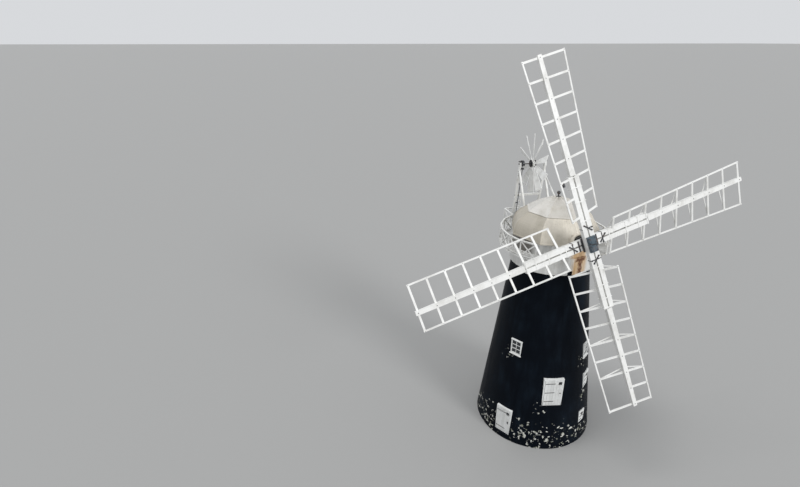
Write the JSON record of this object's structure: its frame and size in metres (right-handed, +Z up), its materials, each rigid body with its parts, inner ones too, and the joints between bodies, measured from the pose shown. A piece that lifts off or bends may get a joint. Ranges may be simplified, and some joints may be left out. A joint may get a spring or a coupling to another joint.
{
  "type": "traditional tower windmill",
  "caption": "Tapered black tower windmill with a cream faceted dome cap, a gallery round it, white lattice sails on a tilted shaft and a fan wheel on a stage behind.",
  "frame": {"origin": "centre of the tower's round foot, at ground level", "axes": "+Z up the tower's axis, -Y the way the sails face, +X to the right seen from the front"},
  "size_m": [19.6038, 11.4349, 23.4337],
  "materials": {
    "tarred_brick": "tarred brickwork, satin with flaking patches near the foot",
    "stone_floor": "worn stone paving",
    "floor_boards": "bare floor boards",
    "bare_oak": "bare weathered oak",
    "white_joinery": "white painted joinery, lightly weathered",
    "white_boards": "white painted boards, rust stained at the front",
    "white_sail_timber": "white painted timber with dirt in the corners",
    "white_gallery_timber": "white painted timber",
    "cream_cap_boards": "cream painted cap boards",
    "window_glass": "clear glass",
    "dark_iron": "dark painted iron",
    "blue_grey_iron": "blue-grey painted cast iron"
  },
  "bodies": {
    "tower": {"ground_wall_front": "tarred_brick", "ground_wall_right": "tarred_brick", "ground_wall_back": "tarred_brick", "ground_wall_left": "tarred_brick", "middle_wall_front": "tarred_brick", "middle_wall_right": "tarred_brick", "middle_wall_back": "tarred_brick", "upper_wall_front": "tarred_brick", "upper_wall_right": "tarred_brick", "upper_wall_back": "tarred_brick", "ground_door_sill": "tarred_brick", "ground_door_lintel": "tarred_brick", "ground_floor": "stone_floor", "first_floor": "floor_boards", "second_floor": "floor_boards", "curb_ring": "bare_oak", "ground_door_frame": "white_joinery", "shut_door_frames": "white_joinery", "shut_door_leaves": "white_joinery", "window_frames": "white_joinery", "window_panes": "window_glass"},
    "door": {"ground_door": "white_joinery", "ground_door_straps": "dark_iron"},
    "cap": {"cap_frame": "bare_oak", "cap_ring": "bare_oak", "shaft_bearings": "dark_iron", "cap_roof_left": "cream_cap_boards", "cap_roof_right": "cream_cap_boards", "petticoat": "white_boards", "gallery_deck": "white_gallery_timber", "gallery_brackets": "white_gallery_timber", "gallery_rail_left": "white_gallery_timber", "gallery_rail_right": "white_gallery_timber", "platform_rail": "white_gallery_timber", "fan_frame_left": "white_gallery_timber", "fan_frame_right": "white_gallery_timber", "fan_crossbeams": "white_gallery_timber", "cap_wall": "cream_cap_boards", "cap_finial": "dark_iron"},
    "sails": {"windshaft": "dark_iron", "poll_end": "blue_grey_iron", "front_stock": "white_sail_timber", "rear_stock": "white_sail_timber", "whip_top": "white_sail_timber", "lattice_top": "white_sail_timber", "whip_left": "white_sail_timber", "lattice_left": "white_sail_timber", "whip_bottom": "white_sail_timber", "lattice_bottom": "white_sail_timber", "whip_right": "white_sail_timber", "lattice_right": "white_sail_timber"},
    "fan": {"fan_wheel": "white_sail_timber", "fan_axle": "dark_iron"}
  },
  "joints": [
    {"name": "door_hinge", "type": "hinge", "parent": "tower", "child": "door", "pos_m": [-3.24585, -1.5319, 1.245], "axis": [0, 0, -1], "range_deg": [0, 100]},
    {"name": "cap_turn", "type": "hinge", "parent": "tower", "child": "cap", "pos_m": [0, 0, 12], "axis": [0, 0, 1], "continuous": true},
    {"name": "windshaft_turn", "type": "hinge", "parent": "cap", "child": "sails", "pos_m": [0, -3.55712, 13.922], "axis": [0, -0.9702, 0.2422], "continuous": true},
    {"name": "fan_turn", "type": "hinge", "parent": "cap", "child": "fan", "pos_m": [0, 3.48012, 16.55], "axis": [1, 0, 0], "continuous": true}
  ]
}
